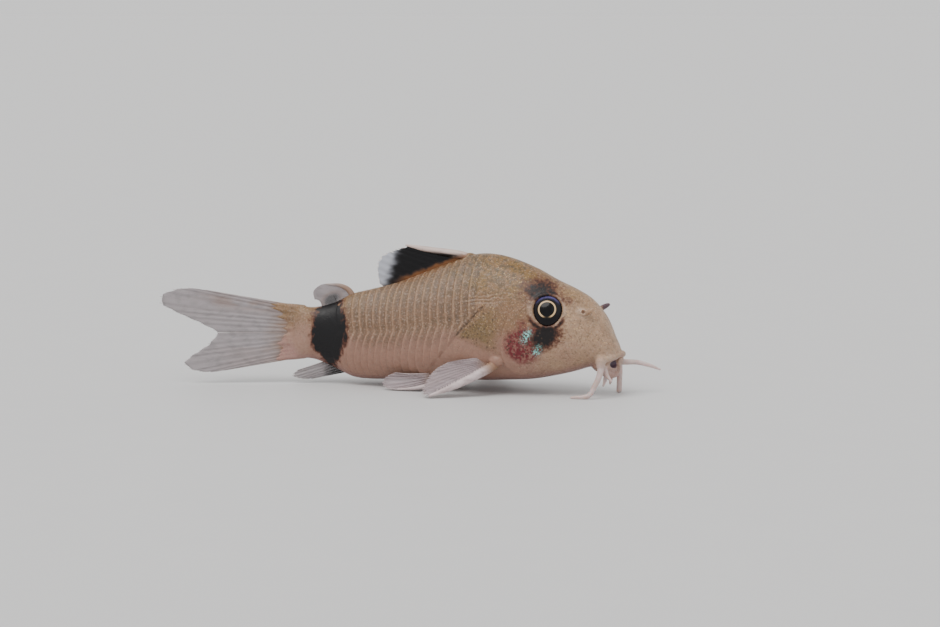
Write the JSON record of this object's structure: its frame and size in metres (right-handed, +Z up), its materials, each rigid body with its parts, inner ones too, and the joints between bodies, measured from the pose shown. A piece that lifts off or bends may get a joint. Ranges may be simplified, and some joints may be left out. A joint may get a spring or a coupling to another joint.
{
  "type": "corydoras catfish",
  "caption": "Small armoured catfish at life size, resting on its paired fins and barbels, with two rows of plates a side, folded fins and a bent tail",
  "frame": {"origin": "middle of the fish's box, on the ground that its fins and barbels rest on", "axes": "+X towards the snout, +Y to the fish's left, +Z up"},
  "size_m": [0.054, 0.0186, 0.0156],
  "materials": {
    "skin": "moist olive and tan skin over bony plates, black mask and black tail band",
    "fin": "clear greyish membrane with paler rays",
    "dark_fin": "black membrane, pale at its rear margin",
    "barbel": "moist pinkish skin",
    "eye": "wet black eye with a thin gold ring"
  },
  "bodies": {
    "root": {"head": "skin", "trunk": "skin", "tail_stem": "skin", "dorsal_fin": "dark_fin", "adipose_fin": "fin", "anal_fin": "fin", "caudal_fin_upper": "fin", "caudal_fin_lower": "fin", "pectoral_fin_right": "fin", "pectoral_fin_left": "fin", "pelvic_fin_right": "fin", "pelvic_fin_left": "fin", "barbel_rear_right": "barbel", "barbel_front_right": "barbel", "barbel_rear_left": "barbel", "barbel_front_left": "barbel", "barbel_chin_right": "barbel", "barbel_chin_left": "barbel", "eye_right": "eye", "eye_left": "eye"}
  },
  "joints": []
}
